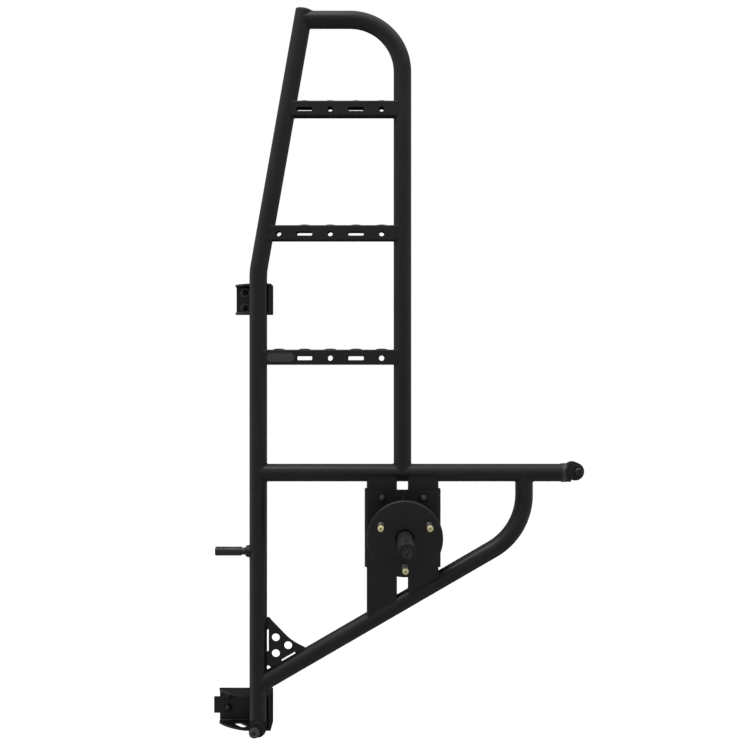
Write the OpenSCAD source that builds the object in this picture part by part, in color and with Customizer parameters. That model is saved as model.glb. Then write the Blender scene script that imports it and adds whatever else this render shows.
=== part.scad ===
// Van rear door ladder with a spare wheel carrier on its lower half.
// Bent round tube frame, three folded rungs, two door brackets, two end eyes,
// a slide plate with a wheel disc, and a plain name plate.
// Origin: middle of the lower bracket's back face, where it lies on the door.
// +Z is up, +Y points into the door, +X is right as seen from behind the van.

/* [Tube frame] */
// outside diameter of every frame tube
tube_od = 44.45; // [38:0.05:50]
// wall of the frame tubes
tube_wall = 3.05; // [2:0.05:5]
// door face to the plane of the tube axes
tube_reach = 85; // [75:1:110]
// gap left where two pieces meet
fit = 0.2; // [0.1:0.05:0.3]
// stile axis to stile axis, low on the ladder
ladder_width = 364; // [340:1:400]
// height of the cross tube axis
cross_z = 608.8; // [570:0.1:640]
// length of the cross tube from the left stile axis
cross_len = 764; // [740:1:800]
// height of the top bar axis
top_z = 1752; // [1700:1:1800]
// bend radius at the top right corner, on the axis
top_bend = 132; // [100:1:160]
// height of the kink in the left stile
kink_z = 1116.8; // [1090:0.1:1140]
// lean of the left stile above the kink, degrees
lean = 10; // [6:0.5:12]
// bend radius of the kink, on the axis
kink_bend = 160; // [100:1:240]
// top end of the left stile above the top bar axis
stile_over = 20; // [10:1:40]
// height where the brace axis meets the left stile axis
brace_z = 72.5; // [65:0.5:90]
// slope of the brace, degrees
brace_a = 30.1; // [26:0.1:32]
// distance of the upright end of the brace from the left stile
brace_x = 671; // [640:1:700]
// bend radius of the brace, on the axis
brace_bend = 160; // [120:1:200]

/* [Rungs] */
// height and depth of the folded rungs
rung_size = 38.1; // [32:0.1:40]
// wall of the rungs
rung_wall = 2.5; // [2:0.1:3.5]
// outside corner radius of the rungs
rung_round = 3.5; // [3:0.1:6]
// height of the bottom rung middle
rung_z = 900; // [880:1:920]
// rung to rung spacing
rung_pitch = 312.7; // [290:0.1:315]
// stile axis to the first hole of a rung
hole_end = 52.6; // [48:0.1:60]
// diameter of the round holes
hole_d = 13.4; // [8:0.1:16]
// length of the slots
slot_len = 39.4; // [30:0.1:44]
// height of the slots
slot_h = 10; // [8:0.1:14]
// corner radius of the slots
slot_round = 3; // [1:0.1:4]
// how far holes and slots sit below the rung's middle
hole_drop = 2.4; // [0:0.1:5]
// diameter of a grip dimple at its foot
dimple_d = 32; // [22:0.5:33]
// height of a grip dimple
dimple_h = 2.9; // [1.5:0.1:4]
// hole in the top of a grip dimple
dimple_hole = 10; // [6:0.5:12]

/* [Name plate and gusset] */
// length of the plain name plate
plate_len = 70; // [50:1:80]
// height of the plain name plate
plate_h = 22.6; // [16:0.1:28]
// thickness of the plain name plate
plate_t = 1.5; // [1:0.1:3]
// left stile axis to the middle of the name plate
plate_x = 57.5; // [50:0.5:64]
// thickness of the corner gusset
gusset_t = 4.8; // [3:0.1:8]
// height of the gusset tip on the stile
gusset_top = 244; // [230:1:260]
// width of the gusset tip on the stile
gusset_tip = 5; // [3:0.5:8]
// reach of the gusset along the brace, from the stile axis
gusset_reach = 118; // [105:1:135]
// sag of the gusset edge
gusset_sag = 7; // [2:0.5:10]
// width of the slots left beside the welds
gusset_slot = 4; // [2:0.1:6]
// diameter of the lightening holes
gusset_hole = 20; // [12:1:22]

/* [Door brackets] */
// sheet of both door brackets
bracket_t = 5; // [3:0.1:7]
// height of the lower bracket
lower_h = 90; // [80:1:100]
// reach of the lower bracket to the left of the stile
lower_left = 107.5; // [95:0.5:120]
// height of the upper bracket
upper_h = 76.2; // [66:0.1:90]
// height of the upper bracket middle
upper_z = 1048.6; // [1000:0.1:1052]
// reach of the upper bracket to the left of the stile
upper_left = 64.3; // [58:0.1:75]
// reach of both brackets to the right of the stile
bracket_right = 30.5; // [29:0.1:40]
// depth of both brackets, door face to front edge
bracket_depth = 80; // [70:1:84]
// height of the side tab on the lower bracket
tab_h = 42; // [30:1:50]
// reach of the side tab past the lower bracket
tab_out = 15; // [8:1:25]
// diameter of the bracket bolt holes
bolt_hole = 11; // [8:0.5:13]
// spacing of the two bolts in the upper bracket
bolt_space = 40; // [30:1:44]
// spacing of the two bolts in the lower bracket
lower_bolt_space = 32; // [28:1:40]
// height of the lower bolt pair's middle
lower_bolt_z = 9; // [0:0.5:12]
// left edge of a bracket to its bolts
bolt_in = 22; // [18:0.5:26]
// inside radius of the folds in both brackets
bracket_bend = 3; // [1:0.5:5]

/* [End eyes] */
// outside diameter of the eye sleeves
eye_od = 45; // [40:0.5:50]
// wall of the eye sleeves
eye_wall = 4; // [3:0.1:5]
// length of an eye sleeve
eye_len = 50; // [45:1:60]
// height of the lower eye
eye_z = -30; // [-34:0.5:-24]
// lower eye front face in front of the tube axes
eye_front = 27; // [24:0.5:32]
// cross tube axis to the end eye axis, up
end_eye_up = 4.8; // [0:0.1:8]
// end of the cross tube to the end eye axis
end_eye_out = 31.6; // [30:0.1:60]
// how far the eye bolts sit off centre
eye_offset = 7; // [3:0.5:9]
// length of the spacer under the lower eye bolt's head
eye_spacer = 14; // [6:0.5:24]
// diameter of that spacer
eye_spacer_d = 20; // [16:0.5:24]
// diameter of the eye bolt shanks
eye_bolt = 12; // [8:0.5:14]
// diameter of the eye bolt heads
eye_head = 27; // [20:0.5:30]
// height of the eye bolt heads
eye_head_h = 11; // [6:0.5:16]
// diameter of the bolt head in the end eye
end_head = 20; // [17:0.5:26]
// outside diameter of the collar on the cross tube end
collar_od = 47.4; // [45:0.1:52]
// length of the collar
collar_len = 14; // [8:0.5:18]

/* [Side peg] */
// height of the side peg
peg_z = 410.6; // [380:0.1:440]
// diameter of the side peg grip
peg_d = 23; // [20:0.1:32]
// length of the side peg grip
peg_len = 66.5; // [50:0.5:90]
// diameter of the side peg nut
peg_nut = 30; // [26:0.5:40]
// length of the side peg nut
peg_nut_len = 9.5; // [8:0.5:16]
// shank of the side peg inside its nut
peg_shank = 16; // [12:0.5:18]
// length of the neck between nut and grip
peg_neck = 10; // [4:0.5:12]
// diameter of the neck
peg_neck_d = 18.5; // [14:0.5:20]

/* [Wheel carrier] */
// width of a carrier upright
upright_w = 76.2; // [60:0.1:80]
// depth of a carrier upright
upright_d = 38.1; // [32:0.1:40]
// wall of a carrier upright
upright_wall = 3; // [2:0.1:4]
// outside corner radius of a carrier upright
upright_round = 6; // [5:0.1:8]
// gap between the two uprights
upright_gap = 28; // [20:1:36]
// height of the slide plate
slide_h = 194; // [180:1:210]
// height of the slide plate middle
slide_z = 471; // [468:0.5:480]
// thickness of the slide plate
slide_t = 6; // [4:0.1:8]
// thickness of the side flanges
flange_t = 5; // [4:0.1:7]
// outside radius of the folds to the side flanges
flange_bend = 8; // [6:0.5:10]
// depth of the slide plate with its side flanges
slide_d = 46; // [36:1:48]
// slide bolt to the top or bottom edge of the slide plate
slide_bolt_edge = 19; // [15:0.5:24]
// shank of the slide bolts
slide_bolt = 12; // [8:0.5:14]
// side of the square standoff tube
standoff_w = 76.2; // [60:0.1:80]
// wall of the standoff tube
standoff_wall = 4.8; // [3:0.1:6]
// slide plate to wheel disc
standoff_len = 190; // [150:1:220]
// thickness of the standoff ribs
rib_t = 8; // [4:0.1:10]
// height of a standoff rib at the slide plate, from the middle
rib_h = 79; // [60:1:84]
// how much lower a standoff rib is at the wheel disc
rib_drop = 14; // [4:0.5:24]
// diameter of the wheel disc
disc_d = 180; // [170:1:200]
// thickness of the wheel disc
disc_t = 8; // [5:0.1:12]
// height of the wheel disc middle
disc_z = 472.3; // [465:0.1:480]
// circle of the wheel studs
stud_circle = 130; // [110:1:140]
// diameter of the wheel studs
stud_d = 11; // [8:0.5:12]
// free length of the wheel studs with nut, from the disc face
stud_len = 66; // [55:1:90]
// diameter of the round lug nuts
lug_d = 14.5; // [13:0.1:18]
// length of the lug nuts
lug_len = 14; // [10:0.5:20]
// outside diameter of the hub stub
stub_d = 38.1; // [30:0.1:45]
// wall of the hub stub
stub_wall = 4; // [3:0.1:6]
// length of the hub stub
stub_len = 198; // [150:1:220]
// diameter of the lock hole through the hub stub
stub_hole = 10; // [6:0.5:14]

/* [Hidden] */
$fn = 64;
tube_y = -tube_reach;
bore_d = tube_od - 2 * tube_wall;
cope_d = tube_od + 2 * fit;
hair = 0.1;
kink_t = kink_bend * tan(lean / 2);
top_left_x = (top_z - kink_z) * tan(lean);
stile_run = (top_z + stile_over - kink_z) / cos(lean) - kink_t;
brace_corner_z = brace_z + brace_x * tan(brace_a);
brace_t = brace_bend * tan((90 - brace_a) / 2);
brace_run = brace_x / cos(brace_a) - brace_t;
rung_front = tube_y - rung_size / 2;
mid_x = ladder_width / 2;
hole_pitch = (ladder_width - 2 * hole_end) / 4;
slide_x = ladder_width;
slide_bolt_up = slide_h - 2 * slide_bolt_edge;
slide_w = 2 * upright_w + upright_gap;
upright_front = tube_y - upright_d / 2;
upright_back = tube_y + upright_d / 2;
web_back = upright_front - fit;
web_front = web_back - slide_t;
disc_back = web_front - standoff_len;
disc_front = disc_back - disc_t;
bolt_dx = (upright_w + upright_gap) / 2;
end_eye_x = cross_len + end_eye_out;
end_eye_z = cross_z + end_eye_up;
collar_end = cross_len + collar_len;
eye_front_y = tube_y - eye_front;

// a straight round bar along Z in the tube plane
module bar_z(x, z0, z1, d)
    translate([x, tube_y, z0]) cylinder(h = z1 - z0, d = d);

// a straight round bar along X in the tube plane
module bar_x(z, x0, x1, d)
    translate([x0, tube_y, z]) rotate([0, 90, 0]) cylinder(h = x1 - x0, d = d);

// a round bar along Y
module bar_y(x, z, y0, y1, d, sides = 64)
    translate([x, y1, z]) rotate([90, 0, 0]) cylinder(h = y1 - y0, d = d, $fn = sides);

// a straight piece of frame tube, lengthened downward by a lap
module tube(h, lap = 0) difference() {
    translate([0, 0, -lap]) cylinder(h = h + lap, d = tube_od);
    translate([0, 0, -lap - 1]) cylinder(h = h + lap + 2, d = bore_d);
}

// a tube with one bend round the Y axis through x and z, with its two straight ends
// the bend's wall stands proud by a hair, so that the straight ends lap into it
module bent_tube(x, z, r, from, sweep, before, after)
    translate([x, tube_y, z]) rotate([90, 0, 0]) {
        rotate([0, 0, from]) {
            rotate_extrude(angle = sweep) translate([r, 0]) difference() {
                circle(d = tube_od + 2 * hair);
                circle(d = bore_d - 2 * hair);
            }
            translate([r, 0, 0]) rotate([90, 0, 0]) tube(before, 0.5);
        }
        rotate([0, 0, from + sweep]) translate([r, 0, 0]) rotate([-90, 0, 0]) tube(after, 0.5);
    }

// space taken by the left stile, below and above its kink
module left_space(d) bar_z(0, eye_z, kink_z, d);
module lean_space(d) translate([0, tube_y, kink_z]) rotate([0, lean, 0]) cylinder(h = stile_run + kink_t + 12, d = d);

// space taken by the straight part of the brace
module brace_space(d)
    translate([0, tube_y, brace_z]) rotate([0, 90 - brace_a, 0]) cylinder(h = brace_run, d = d);

module lower_eye_space(d)
    bar_y(0, eye_z, eye_front_y - 1, eye_front_y + eye_len + 1, d);

module end_eye_space(d)
    bar_y(end_eye_x, end_eye_z, eye_front_y - 1, eye_front_y + eye_len + 1, d);

module left_stile() color([0.07, 0.07, 0.075]) difference() {
    bent_tube(kink_bend, kink_z - kink_t, kink_bend, 180 - lean, lean, stile_run, kink_z - kink_t - eye_z);
    lower_eye_space(eye_od + 2 * fit);
}

// domed plug closing the top of the left stile
module stile_top_cap() color([0.06, 0.06, 0.065])
    translate([0, tube_y, kink_z]) rotate([0, lean, 0]) translate([0, 0, stile_run + kink_t])
        rotate_extrude() polygon([
            [0, -12], [bore_d / 2 - fit, -12], [bore_d / 2 - fit, fit], [tube_od / 2, fit],
            [tube_od / 2, 2.5], [tube_od / 2 - 2, 4.6], [tube_od / 2 - 6, 6.1], [tube_od / 2 - 12, 6.9], [0, 7.2]]);

module right_stile() color([0.07, 0.07, 0.075]) difference() {
    bent_tube(ladder_width - top_bend, top_z - top_bend, top_bend, 0, 90,
        top_z - top_bend - cross_z, ladder_width - top_bend - top_left_x);
    lean_space(cope_d);
    bar_x(cross_z, ladder_width - tube_od, ladder_width + tube_od, cope_d);
}

module cross_tube() color([0.07, 0.07, 0.075]) difference() {
    translate([0, tube_y, cross_z]) rotate([0, 90, 0]) tube(cross_len);
    left_space(cope_d);
}

module diagonal_brace() color([0.07, 0.07, 0.075]) difference() {
    bent_tube(brace_x - brace_bend, brace_corner_z + brace_t, brace_bend, brace_a - 90, 90 - brace_a,
        brace_run, cross_z - brace_corner_z - brace_t);
    left_space(cope_d);
    bar_x(cross_z, brace_x - tube_od, brace_x + tube_od, cope_d);
}

// a square bar along X with rounded edges
module soft_bar(x0, x1, z, s, r) {
    translate([x0, tube_y - s / 2, z - s / 2 + r]) cube([x1 - x0, s, s - 2 * r]);
    translate([x0, tube_y - s / 2 + r, z - s / 2]) cube([x1 - x0, s - 2 * r, s]);
    for (j = [-1, 1], k = [-1, 1])
        translate([x0, tube_y + j * (s / 2 - r), z + k * (s / 2 - r)])
            rotate([0, 90, 0]) cylinder(h = x1 - x0, r = r);
}

// a dimple pressed up out of the top of a rung
module dimple(x, z, d, drop)
    translate([x, tube_y, z - drop]) rotate_extrude() polygon([
        [0, -1], [d / 2, -1], [d / 2, 0], [d / 2 - 1.5, 0.4 * dimple_h], [d / 2 - 3.5, 0.64 * dimple_h],
        [d / 2 - 6.5, 0.85 * dimple_h], [dimple_hole / 2, dimple_h], [0, dimple_h]]);

// a slot with rounded corners through a rung
module slot(x, z) translate([x, rung_front + rung_size + 1, z]) rotate([90, 0, 0]) {
    long = slot_len - 2 * slot_round;
    high = slot_h - 2 * slot_round;
    translate([-slot_len / 2, -high / 2, 0]) cube([slot_len, high, rung_size + 2]);
    translate([-long / 2, -slot_h / 2, 0]) cube([long, slot_h, rung_size + 2]);
    for (i = [-1, 1], j = [-1, 1])
        translate([i * long / 2, j * high / 2, 0]) cylinder(h = rung_size + 2, r = slot_round);
}

// rung at height z, with round holes and slots taking turns and dimples over them
module rung(z, holes, bumps) {
    x0 = max(0, (z - kink_z) * tan(lean));
    top = z + rung_size / 2;
    difference() {
        union() {
            soft_bar(x0, ladder_width, z, rung_size, rung_round);
            for (i = bumps) dimple(mid_x + i * hole_pitch, top, dimple_d, 0);
        }
        soft_bar(x0 - 1, ladder_width + 1, z, rung_size - 2 * rung_wall, rung_round - rung_wall);
        for (i = bumps) {
            dimple(mid_x + i * hole_pitch, top, dimple_d - 3, rung_wall);
            translate([mid_x + i * hole_pitch, tube_y, top - rung_wall - 1])
                cylinder(h = rung_wall + dimple_h + 2, d = dimple_hole);
        }
        for (i = holes) {
            x = mid_x + i * hole_pitch;
            if (i % 2 == 0) bar_y(x, z - hole_drop, rung_front - 1, rung_front + rung_size + 1, hole_d);
            else slot(x, z - hole_drop);
        }
        left_space(cope_d);
        lean_space(cope_d);
        bar_z(ladder_width, cross_z, top_z - top_bend, cope_d);
    }
}

module rung_top() color([0.075, 0.075, 0.08]) rung(rung_z + 2 * rung_pitch, [-1 : 2], [-1 : 2]);
module rung_middle() color([0.075, 0.075, 0.08]) rung(rung_z + rung_pitch, [-2 : 2], [-1 : 2]);
module rung_bottom() color([0.075, 0.075, 0.08]) rung(rung_z, [-2 : 2], [-2 : 2]);

// plain rounded plate on the left end of the bottom rung
module name_plate_blank() color([0.16, 0.16, 0.165]) {
    y1 = rung_front - 0.1;
    for (s = [-1, 1]) bar_y(plate_x + s * (plate_len - plate_h) / 2, rung_z, y1 - plate_t, y1, plate_h);
    translate([plate_x - (plate_len - plate_h) / 2, y1 - plate_t, rung_z - plate_h / 2])
        cube([plate_len - plate_h, plate_t, plate_h]);
}

// flat plate welded into the corner between the left stile and the brace
module corner_gusset() color([0.07, 0.07, 0.075]) {
    r = tube_od / 2 + fit;
    foot = function(x) brace_z + x * tan(brace_a) + r / cos(brace_a);
    p = [r + gusset_tip, gusset_top];
    q = [gusset_reach, foot(gusset_reach) + 1];
    difference() {
        translate([0, tube_y + gusset_t / 2, 0]) rotate([90, 0, 0]) linear_extrude(gusset_t)
            polygon(concat([[r, foot(r)], [r, gusset_top]],
                [for (t = [0 : 0.125 : 1]) let (s = 4 * t * (1 - t) * (1 - 0.25 * sin(360 * t)))
                    [p[0] + (q[0] - p[0]) * t - gusset_sag * s * 0.62, p[1] + (q[1] - p[1]) * t - gusset_sag * s * 0.78]],
                [[gusset_reach, foot(gusset_reach)]]));
        translate([r - 1, tube_y - gusset_t, gusset_top - 86]) cube([1 + gusset_slot, 2 * gusset_t, 55]);
        translate([0, tube_y, brace_z]) rotate([0, -brace_a, 0])
            translate([82, -gusset_t, r - 1]) cube([40, 2 * gusset_t, 1 + gusset_slot]);
        translate([r, tube_y, foot(r)]) rotate([90, 0, 0])
            cylinder(h = 2 * gusset_t, r = 11, center = true);
        for (c = [[r + 22, gusset_top - 51], [r + 22, gusset_top - 91], [r + 53, gusset_top - 71]])
            bar_y(c[0], c[1], tube_y - gusset_t, tube_y + gusset_t, gusset_hole);
    }
}

// a block along X behind the bracket's front edge, its two back edges rounded
module fold(x0, x1, z, h, back, r) {
    front = -bracket_depth - 1;
    translate([x0, front, z - h / 2]) cube([x1 - x0, -back - r - front, h]);
    translate([x0, front, z - h / 2 + r]) cube([x1 - x0, -back - front, h - 2 * r]);
    for (k = [-1, 1]) translate([x0, -back - r, z + k * (h / 2 - r)]) rotate([0, 90, 0]) cylinder(h = x1 - x0, r = r);
}

// folded bracket on the door, open to the front and left, with a curved front edge
module door_bracket(z, h, left, arc_x, arc_y, arc_r) intersection() {
    difference() {
        fold(-left, bracket_right, z, h, 0, bracket_t + bracket_bend);
        fold(-left - 1, bracket_right - bracket_t, z, h - 2 * bracket_t, bracket_t, bracket_bend);
        translate([0, tube_y, z - h / 2 - 1]) cylinder(h = h + 2, d = cope_d);
    }
    union() {
        translate([arc_x, arc_y, z - h]) cylinder(h = 2 * h, r = arc_r, $fn = 128);
        translate([0, -bracket_depth, z - h]) cube([bracket_right, bracket_depth, 2 * h]);
    }
    translate([-left, -bracket_depth, z - h]) cube([left + bracket_right, bracket_depth, 2 * h]);
}

module upper_bracket() color([0.07, 0.07, 0.075]) difference() {
    door_bracket(upper_z, upper_h, upper_left, 21, 0, 90);
    for (s = [-1, 1]) bar_y(-upper_left + bolt_in, upper_z + s * bolt_space / 2, -bracket_t - 1, 1, bolt_hole);
}

module lower_bracket() color([0.07, 0.07, 0.075]) difference() {
    union() {
        door_bracket(0, lower_h, lower_left, 19, 53, 144);
        translate([-lower_left - tab_out, -bracket_t, -tab_h / 2]) cube([tab_out + 1, bracket_t, tab_h]);
    }
    lower_eye_space(eye_od + 2 * fit);
    for (s = [-1, 1]) bar_y(-lower_left + bolt_in, lower_bolt_z + s * lower_bolt_space / 2, -bracket_t - 1, 1, bolt_hole);
    for (c = [[-58, -30], [-40, -54]])
        translate([c[0], c[1], -lower_h]) cylinder(h = lower_h, r = 10);
    translate([-58, -30, -lower_h]) rotate([0, 0, atan2(-24, 18)])
        translate([0, -10, 0]) cube([30, 20, lower_h]);
}

// sleeve of an eye, its axis toward the door
module eye_sleeve(x, z) difference() {
    bar_y(x, z, eye_front_y, eye_front_y + eye_len, eye_od);
    bar_y(x, z, eye_front_y - 1, eye_front_y + eye_len + 1, eye_od - 2 * eye_wall);
}

// dark bushing in an eye, bored off centre
module eye_bushing(x, z, dx, dz) difference() {
    bar_y(x, z, eye_front_y - 1, eye_front_y + eye_len + 1, eye_od - 2 * eye_wall - 2 * fit);
    bar_y(x + dx, z + dz, eye_front_y - 3, eye_front_y + eye_len + 3, eye_bolt + 2 * fit);
}

// bolt of an eye with a spacer and a round head in front
module eye_bolt_at(x, z, head, spacer) {
    bar_y(x, z, eye_front_y - spacer - 3, eye_front_y + eye_len + 1, eye_bolt);
    if (spacer > 0) bar_y(x, z, eye_front_y - spacer - 2, eye_front_y - 1 - fit, eye_spacer_d);
    translate([x, eye_front_y - spacer - 1 - fit, z]) rotate([90, 0, 0]) rotate_extrude() polygon([
        [0, 0], [head / 2, 0], [head / 2, eye_head_h * 0.55],
        [head / 2 - 2, eye_head_h * 0.82], [head / 2 - 4, eye_head_h], [0, eye_head_h]]);
}

module lower_eye_sleeve() color([0.08, 0.08, 0.085]) eye_sleeve(0, eye_z);
module lower_eye_bushing() color([0.02, 0.02, 0.02])
    eye_bushing(0, eye_z, -eye_offset * 0.8, -eye_offset * 0.6);
module lower_eye_bolt() color([0.12, 0.12, 0.12])
    eye_bolt_at(-eye_offset * 0.8, eye_z - eye_offset * 0.6, eye_head, eye_spacer);

module end_eye_sleeve() color([0.08, 0.08, 0.085]) eye_sleeve(end_eye_x, end_eye_z);
module end_eye_bushing() color([0.02, 0.02, 0.02])
    eye_bushing(end_eye_x, end_eye_z, eye_offset, 0);
module end_eye_bolt() color([0.12, 0.12, 0.12]) difference() {
    eye_bolt_at(end_eye_x + eye_offset, end_eye_z, end_head, 0);
    translate([end_eye_x + eye_offset, eye_front_y - eye_head_h + 4, end_eye_z])
        rotate([90, 0, 0]) cylinder(h = 12, d = end_head / 2, $fn = 6);
}

// collar closing the end of the cross tube, shaped round the end eye
module end_collar() color([0.09, 0.09, 0.095]) difference() {
    union() {
        bar_x(cross_z, cross_len - 18, cross_len + 1, bore_d - 2 * fit);
        bar_x(cross_z, cross_len + fit, collar_end, collar_od);
        bar_x(cross_z, collar_end - 1, collar_end + 2, collar_od - 3);
        bar_x(cross_z, collar_end + 1, collar_end + 10, collar_od - 0.6);
    }
    end_eye_space(eye_od + 2 * fit);
}

// nut welded on the side of the left stile
module side_peg_nut() color([0.05, 0.05, 0.055]) difference() {
    translate([0, tube_y, peg_z]) rotate([0, -90, 0]) rotate_extrude() polygon([
        [peg_shank / 2, 0], [peg_nut / 2, 0], [peg_nut / 2, tube_od / 2 + peg_nut_len - 3],
        [peg_nut / 2 - 3, tube_od / 2 + peg_nut_len], [peg_shank / 2, tube_od / 2 + peg_nut_len]]);
    left_space(cope_d);
}

// smooth round grip on its neck
module side_peg_grip() color([0.09, 0.09, 0.1])
    translate([-tube_od / 2 - fit, tube_y, peg_z]) rotate([0, -90, 0]) rotate_extrude() polygon([
        [0, 1], [peg_shank / 2 - fit, 1], [peg_shank / 2 - fit, peg_nut_len], [peg_neck_d / 2, peg_nut_len],
        [peg_neck_d / 2, peg_nut_len + peg_neck], [peg_d / 2, peg_nut_len + peg_neck],
        [peg_d / 2, peg_nut_len + peg_neck + peg_len - 2], [peg_d / 2 - 2, peg_nut_len + peg_neck + peg_len],
        [0, peg_nut_len + peg_neck + peg_len]]);

// an upright bar with rounded edges
module soft_post(x, y, z0, z1, w, d, r) {
    translate([x - w / 2 + r, y - d / 2, z0]) cube([w - 2 * r, d, z1 - z0]);
    translate([x - w / 2, y - d / 2 + r, z0]) cube([w, d - 2 * r, z1 - z0]);
    for (j = [-1, 1], k = [-1, 1])
        translate([x + j * (w / 2 - r), y + k * (d / 2 - r), z0]) cylinder(h = z1 - z0, r = r);
}

// flat sided tube of the wheel carrier, from the cross tube down to the brace
module upright(side) {
    x = slide_x + side * bolt_dx;
    foot = brace_z + (x - upright_w / 2) * tan(brace_a);
    rise = upright_w * tan(brace_a);
    difference() {
        soft_post(x, tube_y, foot, cross_z, upright_w, upright_d, upright_round);
        soft_post(x, tube_y, foot - 1, cross_z + 1, upright_w - 2 * upright_wall,
            upright_d - 2 * upright_wall, upright_round - upright_wall);
        bar_x(cross_z, x - upright_w, x + upright_w, cope_d);
        translate([x, tube_y + upright_d, foot - rise / 2]) rotate([90, 0, 0]) linear_extrude(2 * upright_d)
            polygon([[-upright_w, -rise], [upright_w, -rise], [upright_w, 2 * rise], [-upright_w, 0]]);
        brace_space(cope_d);
        for (s = [-1, 1])
            bar_y(x, slide_z + s * slide_bolt_up / 2, upright_front - 1, upright_back + 1, slide_bolt + 2 * fit);
    }
}
module upright_left() color([0.07, 0.07, 0.075]) upright(-1);
module upright_right() color([0.07, 0.07, 0.075]) upright(1);

// folded plate with side flanges that slides on the uprights
module slide_plate() color([0.08, 0.08, 0.085]) {
    in = slide_w / 2 + fit;
    out = in + flange_t;
    low = slide_z - slide_h / 2;
    difference() {
        union() {
            soft_post(slide_x, web_front + slide_d / 2, low, low + slide_h, 2 * out, slide_d, flange_bend);
            translate([slide_x - out, web_front + flange_bend, low]) cube([2 * out, slide_d - flange_bend, slide_h]);
        }
        translate([slide_x - in, web_back, low - 1]) cube([2 * in, slide_d, slide_h + 2]);
        for (i = [-1, 1], j = [-1, 1])
            bar_y(slide_x + i * bolt_dx, slide_z + j * slide_bolt_up / 2, web_front - 1, web_back + 1, slide_bolt + 2 * fit);
    }
}

// bolt with washers and nut through slide plate and upright
module slide_bolt_at(i, j) {
    x = slide_x + i * bolt_dx;
    z = slide_z + j * slide_bolt_up / 2;
    bar_y(x, z, web_front - 8, upright_back + 14, slide_bolt);
    bar_y(x, z, web_front - fit - 2.5, web_front - fit, slide_bolt * 2.25);
    bar_y(x, z, web_front - fit - 10, web_front - fit - 2.5, slide_bolt * 1.75, 6);
    bar_y(x, z, upright_back + fit, upright_back + fit + 2.5, slide_bolt * 2.25);
    bar_y(x, z, upright_back + fit + 2.5, upright_back + fit + 11, slide_bolt * 1.75, 6);
}
module slide_bolt_upper_left() color([0.5, 0.5, 0.5]) slide_bolt_at(-1, 1);
module slide_bolt_upper_right() color([0.5, 0.5, 0.5]) slide_bolt_at(1, 1);
module slide_bolt_lower_left() color([0.5, 0.5, 0.5]) slide_bolt_at(-1, -1);
module slide_bolt_lower_right() color([0.5, 0.5, 0.5]) slide_bolt_at(1, -1);

// square tube carrying the wheel disc
module standoff_tube() color([0.07, 0.07, 0.075]) {
    w = standoff_w;
    b = w - 2 * standoff_wall;
    difference() {
        translate([slide_x - w / 2, disc_back + fit, disc_z - w / 2]) cube([w, standoff_len - 2 * fit, w]);
        translate([slide_x - b / 2, disc_back - 1, disc_z - b / 2]) cube([b, standoff_len + 2, b]);
    }
}

// upright rib above or below the standoff tube
module standoff_rib(s) {
    translate([slide_x - rib_t / 2, 0, disc_z]) rotate([90, 0, 90]) linear_extrude(rib_t) polygon([
        [web_front - fit, s * (standoff_w / 2 + fit)], [web_front - fit, s * rib_h],
        [disc_back + fit, s * (rib_h - rib_drop)], [disc_back + fit, s * (standoff_w / 2 + fit)]]);
}
module standoff_rib_top() color([0.07, 0.07, 0.075]) standoff_rib(1);
module standoff_rib_bottom() color([0.07, 0.07, 0.075]) standoff_rib(-1);

// positions of the three wheel studs around the disc middle
function stud_at(a) = [slide_x + stud_circle / 2 * cos(a), disc_z + stud_circle / 2 * sin(a)];

module wheel_disc() color([0.08, 0.08, 0.085]) difference() {
    bar_y(slide_x, disc_z, disc_front, disc_back, disc_d, 128);
    for (a = [30, 150, 270])
        bar_y(stud_at(a)[0], stud_at(a)[1], disc_front - 1, disc_back + 1, stud_d + 2 * fit);
}

module wheel_stud(a)
    bar_y(stud_at(a)[0], stud_at(a)[1], disc_front - stud_len + lug_len - 6, disc_back, stud_d);
module wheel_stud_left() color([0.35, 0.35, 0.36]) wheel_stud(150);
module wheel_stud_right() color([0.35, 0.35, 0.36]) wheel_stud(30);
module wheel_stud_bottom() color([0.35, 0.35, 0.36]) wheel_stud(270);

// round brass coloured nut with a hexagon socket
module lug_nut(a) {
    p = stud_at(a);
    y0 = disc_front - stud_len;
    difference() {
        bar_y(p[0], p[1], y0, y0 + lug_len, lug_d);
        bar_y(p[0], p[1], y0 + lug_len - 6 - fit, y0 + lug_len + 1, stud_d + 2 * fit);
        bar_y(p[0], p[1], y0 - 1, y0 + 5, lug_d * 0.55, 6);
    }
}
module lug_nut_left() color([0.72, 0.66, 0.42]) lug_nut(150);
module lug_nut_right() color([0.72, 0.66, 0.42]) lug_nut(30);
module lug_nut_bottom() color([0.72, 0.66, 0.42]) lug_nut(270);

// tube the wheel hub slides over
module hub_stub() color([0.07, 0.07, 0.075]) difference() {
    bar_y(slide_x, disc_z, disc_front - stub_len, disc_front - fit, stub_d);
    bar_y(slide_x, disc_z, disc_front - stub_len - 1, disc_front + 1, stub_d - 2 * stub_wall);
    translate([slide_x, disc_front - stub_len + 24, disc_z]) cylinder(h = stub_d + 2, d = stub_hole, center = true);
}

// plug in the front end of the hub stub
module hub_stub_cap() color([0.04, 0.04, 0.045])
    bar_y(slide_x, disc_z, disc_front - stub_len + 2, disc_front - stub_len + 14, stub_d - 2 * stub_wall - 2 * fit);

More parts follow.
